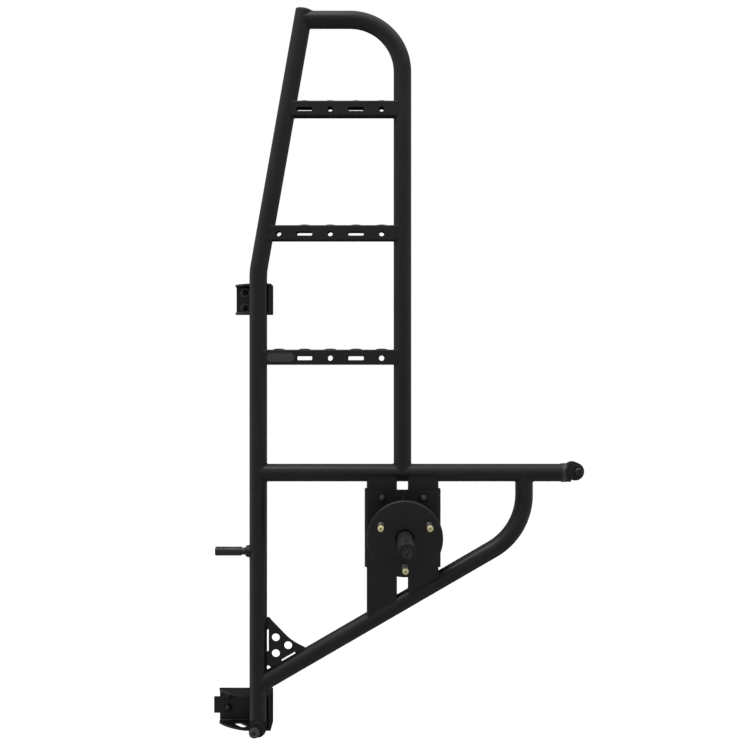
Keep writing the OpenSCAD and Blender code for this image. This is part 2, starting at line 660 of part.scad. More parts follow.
left_stile();
stile_top_cap();
right_stile();
cross_tube();
diagonal_brace();
rung_top();
rung_middle();
rung_bottom();
name_plate_blank();
corner_gusset();
upper_bracket();
lower_bracket();
lower_eye_sleeve();
lower_eye_bushing();
lower_eye_bolt();
end_collar();
end_eye_sleeve();
end_eye_bushing();
end_eye_bolt();
side_peg_nut();
side_peg_grip();
upright_left();
upright_right();
slide_plate();
slide_bolt_upper_left();
slide_bolt_upper_right();
slide_bolt_lower_left();
slide_bolt_lower_right();
standoff_tube();
standoff_rib_top();
standoff_rib_bottom();
wheel_disc();
wheel_stud_left();
wheel_stud_right();
wheel_stud_bottom();
lug_nut_left();
lug_nut_right();
lug_nut_bottom();
hub_stub();
hub_stub_cap();
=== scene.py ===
import math

import bpy
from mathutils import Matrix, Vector


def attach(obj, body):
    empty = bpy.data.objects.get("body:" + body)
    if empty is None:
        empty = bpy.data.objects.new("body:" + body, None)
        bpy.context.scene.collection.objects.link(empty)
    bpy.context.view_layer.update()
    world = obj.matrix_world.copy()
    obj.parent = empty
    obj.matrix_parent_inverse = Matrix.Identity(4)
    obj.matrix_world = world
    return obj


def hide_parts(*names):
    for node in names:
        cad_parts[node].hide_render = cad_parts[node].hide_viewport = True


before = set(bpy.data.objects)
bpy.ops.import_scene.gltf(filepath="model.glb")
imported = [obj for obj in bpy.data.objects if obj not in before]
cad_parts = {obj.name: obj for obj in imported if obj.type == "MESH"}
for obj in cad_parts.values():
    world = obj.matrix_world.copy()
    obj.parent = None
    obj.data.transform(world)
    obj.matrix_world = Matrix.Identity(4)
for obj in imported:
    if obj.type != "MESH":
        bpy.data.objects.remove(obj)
bpy.ops.object.select_all(action="DESELECT")
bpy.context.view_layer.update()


# Camera: the photograph looks at the door from about three metres behind the van,
# level, a little right of the middle of the ladder.
bpy.ops.object.camera_add(location=(0.2909, -3.035, 0.859), rotation=(math.radians(90), 0, 0))
camera = bpy.context.object
camera.name = "camera"
camera.data.sensor_width = 36
camera.data.lens = 56.3
bpy.context.scene.camera = camera


# Studio: a wide pale floor below the hanging ladder and a white surround for the camera.
# What lights the ladder is a room that is bright above, even in front, below and at the sides,
# and dark behind, with one large soft lamp above and a little left.
def grey(level):
    """A colour without any hue, from 0, black, to 1, white."""
    return (level, level, level, 1)


studio = bpy.data.worlds.new("studio")
bpy.context.scene.world = studio
studio.use_nodes = True
nodes, links = studio.node_tree.nodes, studio.node_tree.links
surround = nodes["Background"]
surround.inputs["Color"].default_value = grey(1)
heading = nodes.new("ShaderNodeTexCoord")
split = nodes.new("ShaderNodeSeparateXYZ")
links.new(heading.outputs["Generated"], split.inputs["Vector"])
toward = nodes.new("ShaderNodeMath")
toward.operation = "MULTIPLY"
toward.inputs[1].default_value = -1
links.new(split.outputs["Y"], toward.inputs[0])
height = nodes.new("ShaderNodeMath")
height.operation = "ARCTAN2"
links.new(split.outputs["Z"], height.inputs[0])
links.new(toward.outputs["Value"], height.inputs[1])
turn = nodes.new("ShaderNodeMapRange")
turn.inputs["From Min"].default_value = -math.pi
turn.inputs["From Max"].default_value = math.pi
links.new(height.outputs["Value"], turn.inputs["Value"])
# from behind, under the floor, by the front, over the top and behind again, in degrees
bands = nodes.new("ShaderNodeValToRGB")
bands.color_ramp.interpolation = "LINEAR"
bands.color_ramp.elements[0].color = grey(0.01)
bands.color_ramp.elements[1].color = grey(0.01)
for degrees, bright in [(-150, 0.01), (-120, 0.1), (-96, 0.15), (-75, 0.21), (-50, 0.17), (-20, 0.2),
                        (5, 0.22), (18, 0.34), (31, 0.41), (45, 0.54), (60, 0.7), (76, 0.82),
                        (94, 0.8), (109, 0.64), (122, 0.3), (135, 0.17), (150, 0.08), (165, 0.03)]:
    stop = bands.color_ramp.elements.new((degrees + 180) / 360)
    stop.color = grey(bright)
links.new(turn.outputs["Result"], bands.inputs["Fac"])
sides = nodes.new("ShaderNodeValToRGB")
sides.color_ramp.elements[0].color = grey(0.36)
sides.color_ramp.elements[1].color = grey(0.28)
across = nodes.new("ShaderNodeMapRange")
across.inputs["From Min"].default_value = -1
links.new(split.outputs["X"], across.inputs["Value"])
links.new(across.outputs["Result"], sides.inputs["Fac"])
sideways = nodes.new("ShaderNodeMath")
sideways.operation = "ABSOLUTE"
links.new(split.outputs["X"], sideways.inputs[0])
share = nodes.new("ShaderNodeMapRange")
share.interpolation_type = "SMOOTHSTEP"
share.inputs["From Min"].default_value = 0.55
share.inputs["From Max"].default_value = 0.95
links.new(sideways.outputs["Value"], share.inputs["Value"])
walls = nodes.new("ShaderNodeMix")
walls.data_type = "RGBA"
links.new(share.outputs["Result"], walls.inputs["Factor"])
links.new(bands.outputs["Color"], walls.inputs["A"])
links.new(sides.outputs["Color"], walls.inputs["B"])
room = nodes.new("ShaderNodeBackground")
room.inputs["Strength"].default_value = 2
links.new(walls.outputs["Result"], room.inputs["Color"])
ray = nodes.new("ShaderNodeLightPath")
blend = nodes.new("ShaderNodeMixShader")
links.new(ray.outputs["Is Camera Ray"], blend.inputs["Fac"])
links.new(room.outputs["Background"], blend.inputs[1])
links.new(surround.outputs["Background"], blend.inputs[2])
links.new(blend.outputs["Shader"], nodes["World Output"].inputs["Surface"])
bpy.context.scene.view_settings.view_transform = "Standard"

FLOOR_HEIGHT = -0.35
bpy.ops.mesh.primitive_plane_add(size=60, location=(0, 0, FLOOR_HEIGHT))
floor = bpy.context.object
floor.name = "floor"
floor.visible_glossy = False
floor_paint = bpy.data.materials.new("pale floor")
floor_paint.use_nodes = True
paint = floor_paint.node_tree.nodes["Principled BSDF"].inputs
paint["Base Color"].default_value = grey(0.98)
paint["Roughness"].default_value = 0.9
paint["Emission Color"].default_value = grey(1)
paint["Emission Strength"].default_value = 0.08
floor.data.materials.append(floor_paint)

bpy.ops.object.light_add(type="AREA", location=(-1.0, -1.2, 4.2),
                         rotation=(math.radians(20), math.radians(-14), 0))
top_lamp = bpy.context.object
top_lamp.name = "top lamp"
top_lamp.data.shape = "RECTANGLE"
top_lamp.data.size = 2.4
top_lamp.data.size_y = 1.4
top_lamp.data.energy = 40


# Frame tubes: 44 mm steel tube, bent and coped to sit on each other, welded and powder coated.
# The coat is near black, with a fine orange peel and a slightly uneven sheen.
TUBE_PLANE = -0.085
TUBE_RADIUS = 0.022225
STILE_SPACING = 0.364
CROSS_HEIGHT = 0.6088
LEAN = math.radians(10)
LEAN_AXIS = (math.sin(LEAN), 0, math.cos(LEAN))
BRACE_RISE = math.radians(30.1)
BRACE_AXIS = (math.cos(BRACE_RISE), 0, math.sin(BRACE_RISE))
BRACE_FOOT = 0.0725
BRACE_HEAD = 0.671
TOP_BAR_START, TOP_BAR_HEIGHT = 0.112, 1.752
TUBE_WELD, TOP_BAR_WELD = 0.0016, 0.0009
DROP_STEP, DROP_SWELL, BEAD_SIDES = 0.0009, 0.13, 8


def coat(name, deep, pale, smooth, rough, peel, shine):
    """A finish whose colour and sheen drift in soft clouds, with a fine peel of the given scale."""
    made = bpy.data.materials.new(name)
    made.use_nodes = True
    nodes, links = made.node_tree.nodes, made.node_tree.links
    shader = nodes["Principled BSDF"]
    shader.inputs["Specular IOR Level"].default_value = shine
    place = nodes.new("ShaderNodeTexCoord")
    cloud = nodes.new("ShaderNodeTexNoise")
    cloud.inputs["Scale"].default_value = 9
    cloud.inputs["Detail"].default_value = 5
    links.new(place.outputs["Object"], cloud.inputs["Vector"])
    tone = nodes.new("ShaderNodeValToRGB")
    tone.color_ramp.elements[0].position = 0.3
    tone.color_ramp.elements[0].color = (*deep, 1)
    tone.color_ramp.elements[1].position = 0.7
    tone.color_ramp.elements[1].color = (*pale, 1)
    links.new(cloud.outputs["Fac"], tone.inputs["Fac"])
    links.new(tone.outputs["Color"], shader.inputs["Base Color"])
    sheen = nodes.new("ShaderNodeMapRange")
    sheen.inputs["To Min"].default_value = smooth
    sheen.inputs["To Max"].default_value = rough
    links.new(cloud.outputs["Fac"], sheen.inputs["Value"])
    links.new(sheen.outputs["Result"], shader.inputs["Roughness"])
    grain = nodes.new("ShaderNodeTexNoise")
    grain.inputs["Scale"].default_value = peel
    grain.inputs["Detail"].default_value = 3
    links.new(place.outputs["Object"], grain.inputs["Vector"])
    relief = nodes.new("ShaderNodeBump")
    relief.inputs["Strength"].default_value = 0.25
    relief.inputs["Distance"].default_value = 0.0004
    links.new(grain.outputs["Fac"], relief.inputs["Height"])
    links.new(relief.outputs["Normal"], shader.inputs["Normal"])
    return made


def finish_node(name, finish):
    """Gives a solid of the frame its finish."""
    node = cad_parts[name]
    node.data.materials.clear()
    node.data.materials.append(finish)


def round_section(radius, count=120):
    """The points of a round tube's outline."""
    turns = [math.tau * i / count for i in range(count)]
    return [(radius * math.cos(turn), radius * math.sin(turn)) for turn in turns]


def saddle_line(section, foot, along, main, reach):
    """The line where a piece along one axis ends on a round tube along the main axis."""
    along, main = Vector(along).normalized(), Vector(main).normalized()
    across = Vector((-along.z, 0, along.x))
    level = Vector((0, 1, 0))
    normal = along.cross(main).normalized()
    away = (along - main * along.dot(main)).normalized()
    line = []
    for a, b in section:
        spot = across * a + level * b
        up = math.sqrt(max(0, reach ** 2 - spot.dot(normal) ** 2))
        line.append(Vector(foot) + spot + along * ((up - spot.dot(away)) / along.dot(away)))
    return line


def even_steps(line, step):
    """The same closed line with its points at even distances, a multiple of four of them."""
    lengths = [(line[(i + 1) % len(line)] - p).length for i, p in enumerate(line)]
    count = min(252, max(12, 4 * round(sum(lengths) / step / 4)))
    gap = sum(lengths) / count
    points, i, start = [], 0, 0.0
    for k in range(count):
        while i < len(line) - 1 and start + lengths[i] < k * gap:
            start += lengths[i]
            i += 1
        share = (k * gap - start) / max(lengths[i], 1e-9)
        points.append(line[i].lerp(line[(i + 1) % len(line)], min(1, share)))
    return points


def lay_weld(bead, name):
    """Names a bead, coats it with the frame and fixes it there."""
    bead.name = name
    bpy.ops.object.shade_smooth()
    bead.data.materials.append(powder)
    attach(bead, "root")
    bpy.ops.object.select_all(action="DESELECT")


def weld_round(name, line, thick):
    """A ridge of small overlapping drops along a closed line."""
    line = even_steps([Vector(p) for p in line], DROP_STEP)
    rings = len(line)
    bpy.ops.mesh.primitive_torus_add(major_segments=rings, minor_segments=BEAD_SIDES,
                                     major_radius=0.03, minor_radius=thick)
    bead = bpy.context.object
    middle = sum(line, Vector()) / rings
    for i, spot in enumerate(line):
        ahead = (line[(i + 1) % rings] - line[i - 1]).normalized()
        out = spot - middle
        out = (out - ahead * out.dot(ahead)).normalized()
        lift = out.cross(ahead)
        swell = thick * (1 + DROP_SWELL * math.cos(math.tau * i / 4))
        for j in range(BEAD_SIDES):
            angle = math.tau * j / BEAD_SIDES
            toward_side = out * math.cos(angle) + lift * math.sin(angle)
            bead.data.vertices[BEAD_SIDES * i + j].co = spot + toward_side * swell
    lay_weld(bead, name)


powder = coat("satin black powder coat", (0.0042, 0.0042, 0.0044), (0.0068, 0.0068, 0.0071),
              0.27, 0.36, 900, 0.3)
for tube in ("left_stile", "right_stile", "cross_tube", "diagonal_brace"):
    finish_node(tube, powder)

tube_round = round_section(TUBE_RADIUS)
for name, foot_x, foot_z, along, main in [
    ("weld_right_stile", STILE_SPACING, CROSS_HEIGHT, (0, 0, 1), (1, 0, 0)),
    ("weld_cross_tube", 0, CROSS_HEIGHT, (1, 0, 0), (0, 0, 1)),
    ("weld_brace_foot", 0, BRACE_FOOT, BRACE_AXIS, (0, 0, 1)),
    ("weld_brace_head", BRACE_HEAD, CROSS_HEIGHT, (0, 0, -1), (1, 0, 0)),
]:
    line = saddle_line(tube_round, (foot_x, TUBE_PLANE, foot_z), along, main, TUBE_RADIUS)
    weld_round(name, line, TUBE_WELD)
top_bar_line = saddle_line(tube_round, (TOP_BAR_START, TUBE_PLANE, TOP_BAR_HEIGHT), (1, 0, 0), LEAN_AXIS,
                           TUBE_RADIUS)
weld_round("weld_top_bar", top_bar_line, TOP_BAR_WELD)


# Stile cap: a domed plug of black plastic pressed into the top of the left stile.
# It is turned here round the leaning axis of the tube, and its rim has one fine groove.
STILE_KINK, LEAN_LENGTH = 1.1168, 0.66525


def smooth_edges(piece, degrees=35):
    """Shades a piece smooth, apart from edges that turn by more than the given angle."""
    bpy.ops.object.select_all(action="DESELECT")
    piece.select_set(True)
    bpy.context.view_layer.objects.active = piece
    bpy.ops.object.shade_smooth_by_angle(angle=math.radians(degrees))


def turned(name, profile, origin, axis, sides=64):
    """A closed profile of radius and distance, turned round an axis through an origin."""
    axis, origin = Vector(axis).normalized(), Vector(origin)
    outward = Vector((1, 0, 0)) if abs(axis.y) > 0.9 else Vector((0, 1, 0))
    bpy.ops.mesh.primitive_circle_add(vertices=len(profile), radius=0.01)
    made = bpy.context.object
    made.name = name
    for vertex, (radius, distance) in zip(made.data.vertices, profile):
        vertex.co = origin + outward * radius + axis * distance
    bpy.ops.object.mode_set(mode="EDIT")
    bpy.ops.mesh.select_all(action="SELECT")
    bpy.ops.mesh.spin(steps=sides, angle=math.tau, center=origin, axis=axis)
    bpy.ops.mesh.select_all(action="SELECT")
    bpy.ops.mesh.remove_doubles(threshold=0.00002)
    bpy.ops.mesh.normals_make_consistent(inside=False)
    bpy.ops.object.mode_set(mode="OBJECT")
    smooth_edges(made)
    return made


def hand_over(piece, finish, node=None):
    """Gives a piece its finish and fixes it to the frame, in the place of a solid if one is named."""
    if finish:
        piece.data.materials.clear()
        piece.data.materials.append(finish)
    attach(piece, "root")
    if node:
        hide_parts(node)
    bpy.ops.object.select_all(action="DESELECT")


cap_plastic = coat("stile cap plastic", (0.016, 0.016, 0.016), (0.034, 0.034, 0.034), 0.3, 0.4, 420, 0.5)
stile_end = Vector((0, TUBE_PLANE, STILE_KINK)) + Vector(LEAN_AXIS) * LEAN_LENGTH
cap = turned("stile_cap", [
    (0, -0.012), (0.0188, -0.012), (0.0190, 0.0004), (0.0222, 0.0004), (0.0222, 0.0014), (0.0214, 0.0018),
    (0.0214, 0.0024), (0.0221, 0.0028), (0.0221, 0.0038), (0.0214, 0.0048), (0.0192, 0.0058),
    (0.0140, 0.0066), (0.0080, 0.0071), (0, 0.0072)], stile_end, LEAN_AXIS, 72)
hand_over(cap, cap_plastic, "stile_top_cap")


# Rungs: sheet folded square, with holes, slots and pressed grip dimples,
# welded between the stiles all round and coated with the frame.
def soft_section(wide, deep, corner):
    """The points of a square tube's outline with its corners rounded."""
    points = []
    for turn, (x, y) in enumerate([(1, 1), (-1, 1), (-1, -1), (1, -1)]):
        for step in range(9):
            angle = math.tau * (turn + step / 8) / 4
            points.append((x * (wide / 2 - corner) + corner * math.cos(angle),
                           y * (deep / 2 - corner) + corner * math.sin(angle)))
    return points


RUNG_WIDE, RUNG_BOTTOM, RUNG_WELD = 0.0381, 0.900, 0.0015
rung_section = soft_section(RUNG_WIDE, RUNG_WIDE, 0.0035)
for rung, height, axis in [("bottom", RUNG_BOTTOM, (0, 0, 1)), ("middle", 1.2127, LEAN_AXIS),
                           ("top", 1.5254, LEAN_AXIS)]:
    finish_node("rung_" + rung, powder)
    left_x = max(0, (height - STILE_KINK) * math.tan(LEAN))
    left_line = saddle_line(rung_section, (left_x, TUBE_PLANE, height), (1, 0, 0), axis, TUBE_RADIUS)
    weld_round("weld_rung_%s_left" % rung, left_line, RUNG_WELD)
    right_line = saddle_line(rung_section, (STILE_SPACING, TUBE_PLANE, height), (-1, 0, 0), (0, 0, 1),
                             TUBE_RADIUS)
    weld_round("weld_rung_%s_right" % rung, right_line, RUNG_WELD)


# Name plate: a small plain plate with round ends on the bottom rung.
# It is pressed from sheet, with a raised rim and nothing on it.
PLATE_LONG, PLATE_HIGH, PLATE_MIDDLE = 0.070, 0.0226, 0.0575
PLATE_FRONT, PLATE_BACK = -0.10565, -0.10415
plate_grey = coat("grey name plate", (0.017, 0.017, 0.018), (0.028, 0.028, 0.029), 0.3, 0.42, 1400, 0.45)
bpy.ops.mesh.primitive_cylinder_add(vertices=64, radius=PLATE_HIGH / 2, depth=PLATE_BACK - PLATE_FRONT,
                                    location=(PLATE_MIDDLE, (PLATE_FRONT + PLATE_BACK) / 2,
                                              RUNG_BOTTOM),
                                    rotation=(math.radians(90), 0, 0))
plate = bpy.context.object
plate.name = "name_plate"
bpy.ops.object.transform_apply(location=True, rotation=True, scale=True)
for vertex in plate.data.vertices:
    side = 1 if vertex.co.x > PLATE_MIDDLE else -1
    vertex.co.x += side * (PLATE_LONG - PLATE_HIGH) / 2


def select_faces(thing, test):
    """Opens a piece in edit mode with only the faces that pass the test selected."""
    bpy.ops.object.mode_set(mode="EDIT")
    bpy.ops.mesh.select_mode(type="FACE")
    bpy.ops.mesh.select_all(action="DESELECT")
    bpy.ops.object.mode_set(mode="OBJECT")
    for face in thing.data.polygons:
        face.select = bool(test(face))
    bpy.ops.object.mode_set(mode="EDIT")


select_faces(plate, lambda face: face.normal.y < -0.9)
bpy.ops.mesh.inset(thickness=0.0004, depth=0.0)
bpy.ops.mesh.inset(thickness=0.0014, depth=0.0)
bpy.ops.mesh.inset(thickness=0.0005, depth=-0.0006)
bpy.ops.object.mode_set(mode="OBJECT")
smooth_edges(plate)
hand_over(plate, plate_grey, "name_plate_blank")


# Corner gusset: flat plate let in between stile and brace, with slots and holes cut in it.
# It is fillet welded on both faces, twice along each edge, and coated with the frame.
def weld_run(name, line, thick):
    """A ridge of small overlapping drops along an open line, with rounded ends."""
    points = [Vector(p) for p in line]
    lengths = [(points[i + 1] - p).length for i, p in enumerate(points[:-1])]
    count = max(8, 4 * round(sum(lengths) / DROP_STEP / 4))
    bpy.ops.mesh.primitive_uv_sphere_add(segments=BEAD_SIDES, ring_count=count, radius=1)
    bead = bpy.context.object
    spots = []
    for k in range(count + 1):
        far, i = sum(lengths) * k / count, 0
        while i < len(lengths) - 1 and far > lengths[i]:
            far -= lengths[i]
            i += 1
        spots.append(points[i].lerp(points[i + 1], min(1, far / lengths[i])))
    for vertex in bead.data.vertices:
        k = round(math.acos(max(-1, min(1, vertex.co.z))) * count / math.pi)
        ahead = (spots[min(count, k + 1)] - spots[max(0, k - 1)]).normalized()
        out = Vector((0, -1, 0)) if abs(ahead.y) < 0.8 else Vector((0, 0, 1))
        out = (out - ahead * out.dot(ahead)).normalized()
        lift = out.cross(ahead)
        rounding = min(1, 0.45 + 0.2 * min(k, count - k))
        swell = 0 if k in (0, count) else thick * (1 + DROP_SWELL * math.cos(math.tau * k / 4)) * rounding
        angle = math.atan2(vertex.co.y, vertex.co.x)
        vertex.co = spots[k] + (out * math.cos(angle) + lift * math.sin(angle)) * swell
    lay_weld(bead, name)


finish_node("corner_gusset", powder)
GUSSET_HALF, GUSSET_WELD, STILE_EDGE = 0.0026, 0.0013, 0.0226
edge_height = BRACE_FOOT + 0.02242 / math.cos(BRACE_RISE)
brace_edge = [(x, edge_height + x * math.tan(BRACE_RISE)) for x in (0.036, 0.057, 0.096, 0.117)]
gusset_runs = [("stile_low", [(STILE_EDGE, 0.125), (STILE_EDGE, 0.157)]),
               ("stile_high", [(STILE_EDGE, 0.214), (STILE_EDGE, 0.243)]),
               ("brace_low", brace_edge[:2]), ("brace_high", brace_edge[2:])]
for face, y in (("front", TUBE_PLANE - GUSSET_HALF), ("back", TUBE_PLANE + GUSSET_HALF)):
    for run, line in gusset_runs:
        weld_run("weld_gusset_%s_%s" % (run, face), [(x, y, z) for x, z in line], GUSSET_WELD)


# Door brackets: 5 mm sheet folded and welded behind the stile along the cut of each flange,
# and each held to the door by two black domed bolts with washers.
def prism(x, z, back, front, corners, sides=6):
    """A bar with flat sides along Y, its width measured over its corners."""
    bpy.ops.mesh.primitive_cylinder_add(vertices=sides, radius=corners / 2, depth=back - front,
                                        location=(x, (back + front) / 2, z),
                                        rotation=(math.radians(90), 0, 0))
    made = bpy.context.object
    bpy.ops.object.transform_apply(location=True, rotation=True, scale=True)
    return made


def cut_with(thing, tool, operation="DIFFERENCE"):
    """Cuts a piece with a tool, which is then thrown away."""
    cut = thing.modifiers.new("cut", "BOOLEAN")
    cut.operation = operation
    cut.object = tool
    bpy.context.view_layer.objects.active = thing
    bpy.ops.object.modifier_apply(modifier=cut.name)
    bpy.data.objects.remove(tool, do_unlink=True)


def join_pieces(name, pieces):
    """Joins pieces that lie on each other into one, each with its own finish."""
    bpy.ops.object.select_all(action="DESELECT")
    for piece in pieces:
        piece.select_set(True)
    bpy.context.view_layer.objects.active = pieces[0]
    bpy.ops.object.join()
    whole = bpy.context.object
    whole.name = name
    smooth_edges(whole)
    return whole


def with_copies(piece, spots):
    """The piece, which lies at the first spot, and a copy with its own mesh at each other spot."""
    pieces = [piece]
    for name, x, z in spots[1:]:
        bpy.ops.object.select_all(action="DESELECT")
        piece.select_set(True)
        bpy.context.view_layer.objects.active = piece
        bpy.ops.object.duplicate()
        copied = bpy.context.object
        copied.location = (x - spots[0][1], 0, z - spots[0][2])
        bpy.ops.object.transform_apply(location=True, rotation=False, scale=False)
        pieces.append(copied)
    for piece, (name, x, z) in zip(pieces, spots):
        piece.name = name
    return pieces


BOLT_SEAT, BOLT_SOCKET = -0.005, 0.008


def socket_bolt(x, z, head, high, finishes):
    """A domed bolt with a six sided socket on a washer, its seat facing the viewer."""
    top = BOLT_SEAT - 0.002 - high
    dome = turned("dome", [
        (0, BOLT_SEAT - 0.0018), (head / 2, BOLT_SEAT - 0.0018), (head / 2, BOLT_SEAT - 0.0032),
        (head * 0.47, top + high * 0.42), (head * 0.4, top + high * 0.18), (head * 0.3, top + high * 0.04),
        (BOLT_SOCKET * 0.58, top), (0, top)], (x, 0, z), (0, 1, 0), 48)
    cut_with(dome, prism(x, z, top + high * 0.6, top - 0.002, BOLT_SOCKET))
    ring = turned("ring", [
        (0, BOLT_SEAT), (0.0118, BOLT_SEAT), (0.0120, BOLT_SEAT - 0.0003), (0.0120, BOLT_SEAT - 0.0014),
        (0.0115, BOLT_SEAT - 0.0019), (0, BOLT_SEAT - 0.0019)], (x, 0, z), (0, 1, 0), 48)
    dome.data.materials.append(finishes[0])
    ring.data.materials.append(finishes[1])
    return join_pieces("bolt", [dome, ring])


FLANGE_LINE, FLANGE_WELD = 0.02245, 0.0014
# a dark zinc coat made paler to paint in the bright highlights on bolt heads, washers and shanks
zinc_painted_paler = coat("zinc painted paler for highlights", (0.022, 0.022, 0.022), (0.042, 0.042, 0.042), 0.24, 0.36, 700, 0.5)
dark_oxide = coat("dark oxide", (0.003, 0.003, 0.003), (0.005, 0.005, 0.005), 0.4, 0.5, 700, 0.2)
black_zinc = coat("black zinc", (0.006, 0.006, 0.0065), (0.011, 0.011, 0.012), 0.18, 0.27, 700, 0.5)
flange_turns = [math.radians(angle) for angle in range(15, 166, 5)]
for bracket, middle, half in (("lower_bracket", 0.0, 0.045), ("upper_bracket", 1.0486, 0.0381)):
    finish_node(bracket, powder)
    for side, height in (("top", middle + half), ("bottom", middle - half)):
        arc = [(FLANGE_LINE * math.cos(turn), TUBE_PLANE + FLANGE_LINE * math.sin(turn), height)
               for turn in flange_turns]
        weld_run("weld_%s_%s" % (bracket, side), arc, FLANGE_WELD)
# the upper bolts' washers take the paler zinc, a painted highlight
for bracket, x, low, high, head, dome_high, finishes in [
    ("upper", -0.0423, 1.0286, 1.0686, 0.0155, 0.0055, (dark_oxide, zinc_painted_paler)),
    ("lower", -0.0855, -0.007, 0.025, 0.0165, 0.0065, (black_zinc, dark_oxide)),
]:
    spots = [(bracket + "_bracket_bolt_low", x, low), (bracket + "_bracket_bolt_high", x, high)]
    for bolt in with_copies(socket_bolt(x, low, head, dome_high, finishes), spots):
        hand_over(bolt, None)


# End eyes: short sleeves with a black rubber bushing bored off centre and a bolt through it,
# one at the foot of the stile and one behind the collar of the cross tube.
EYE_FRONT, EYE_LONG = TUBE_PLANE - 0.027, 0.051
LOWER_EYE, LOWER_BOLT = (0, -0.030), (-0.0056, -0.0342)
END_EYE, END_BOLT = (0.7956, 0.6136), (0.8026, 0.6136)
COLLAR_GROOVE = (0.7765, 0.7772)
rubber = coat("black rubber", (0.006, 0.006, 0.006), (0.010, 0.010, 0.010), 0.5, 0.65, 2200, 0.3)
for part in ("lower_eye_sleeve", "end_eye_sleeve"):
    finish_node(part, powder)

# the collar is glossier up to its groove and dull black behind it
collar_coat = coat("glossy collar coat", (0.014, 0.014, 0.014), (0.020, 0.020, 0.020), 0.2, 0.28, 900, 0.5)
nodes, links = collar_coat.node_tree.nodes, collar_coat.node_tree.links
spot = nodes.new("ShaderNodeTexCoord")
axes = nodes.new("ShaderNodeSeparateXYZ")
links.new(spot.outputs["Object"], axes.inputs["Vector"])
beyond = nodes.new("ShaderNodeMapRange")
beyond.inputs["From Min"].default_value = COLLAR_GROOVE[0]
beyond.inputs["From Max"].default_value = COLLAR_GROOVE[1]
links.new(axes.outputs["X"], beyond.inputs["Value"])
dull = nodes.new("ShaderNodeMix")
dull.data_type = "RGBA"
dull.inputs["B"].default_value = (0.003, 0.003, 0.003, 1)
links.new(beyond.outputs["Result"], dull.inputs["Factor"])
links.new(nodes["Color Ramp"].outputs["Color"], dull.inputs["A"])
links.new(dull.outputs["Result"], nodes["Principled BSDF"].inputs["Base Color"])
gleam = nodes.new("ShaderNodeMapRange")
gleam.inputs["To Min"].default_value = 0.24
gleam.inputs["To Max"].default_value = 0.62
links.new(beyond.outputs["Result"], gleam.inputs["Value"])
links.new(gleam.outputs["Result"], nodes["Principled BSDF"].inputs["Roughness"])
finish_node("end_collar", collar_coat)


def eye_rubber(name, eye, bore, node):
    """A rubber sleeve in an eye with a raised lip on its face, bored off centre."""
    sleeve = turned(name, [
        (0, EYE_FRONT + EYE_LONG), (0.0182, EYE_FRONT + EYE_LONG), (0.0182, EYE_FRONT - 0.0003),
        (0.0175, EYE_FRONT - 0.001), (0.0164, EYE_FRONT - 0.001), (0.0158, EYE_FRONT - 0.0022),
        (0.0144, EYE_FRONT - 0.0027), (0.0130, EYE_FRONT - 0.0022), (0.0124, EYE_FRONT - 0.001),
        (0, EYE_FRONT - 0.001)], (eye[0], 0, eye[1]), (0, 1, 0), 72)
    cut_with(sleeve, prism(*bore, EYE_FRONT + 0.052, EYE_FRONT - 0.004, 0.0126, 40))
    cut_with(sleeve, prism(*bore, EYE_FRONT - 0.0009, EYE_FRONT - 0.004, 0.0206, 56))
    smooth_edges(sleeve)
    hand_over(sleeve, rubber, node)


eye_rubber("lower_eye_rubber", LOWER_EYE, LOWER_BOLT, "lower_eye_bushing")
eye_rubber("end_eye_rubber", END_EYE, END_BOLT, "end_eye_bushing")


def eye_bolt(name, place, seat, head, high, socket, finish):
    """A bolt along Y whose round head stands on its seat, with a six sided socket."""
    back, top = EYE_FRONT + EYE_LONG, seat - high
    spacer = [(0.010, EYE_FRONT - 0.0012), (0.010, seat + 0.0004)] if seat < EYE_FRONT - 0.005 else []
    shank = [(0, back), (0.0052, back), (0.006, back - 0.0008), (0.006, EYE_FRONT - 0.0012)]
    crown = [(head / 2 - 0.0006, seat), (head / 2, seat - 0.0006), (head / 2, top + 0.4 * high),
             (head * 0.46, top + 0.16 * high), (head * 0.38, top + 0.04 * high), (socket * 0.62, top),
             (0, top)]
    bolt = turned(name, shank + spacer + crown, (place[0], 0, place[1]), (0, 1, 0), 56)
    cut_with(bolt, prism(*place, top + 0.55 * high, top - 0.002, socket))
    smooth_edges(bolt)
    hand_over(bolt, finish, name.replace("eye_screw", "eye_bolt"))


# the lower eye screw has the paler zinc, a painted highlight on its head
eye_bolt("lower_eye_screw", LOWER_BOLT, EYE_FRONT - 0.0152, 0.027, 0.011, 0.012, zinc_painted_paler)
eye_bolt("end_eye_screw", END_BOLT, EYE_FRONT - 0.0012, 0.020, 0.011, 0.011, black_zinc)
eye_line = saddle_line(tube_round, (LOWER_EYE[0], TUBE_PLANE, LOWER_EYE[1]), (0, 0, 1), (0, 1, 0), 0.0225)
weld_round("weld_lower_eye", eye_line, 0.0015)


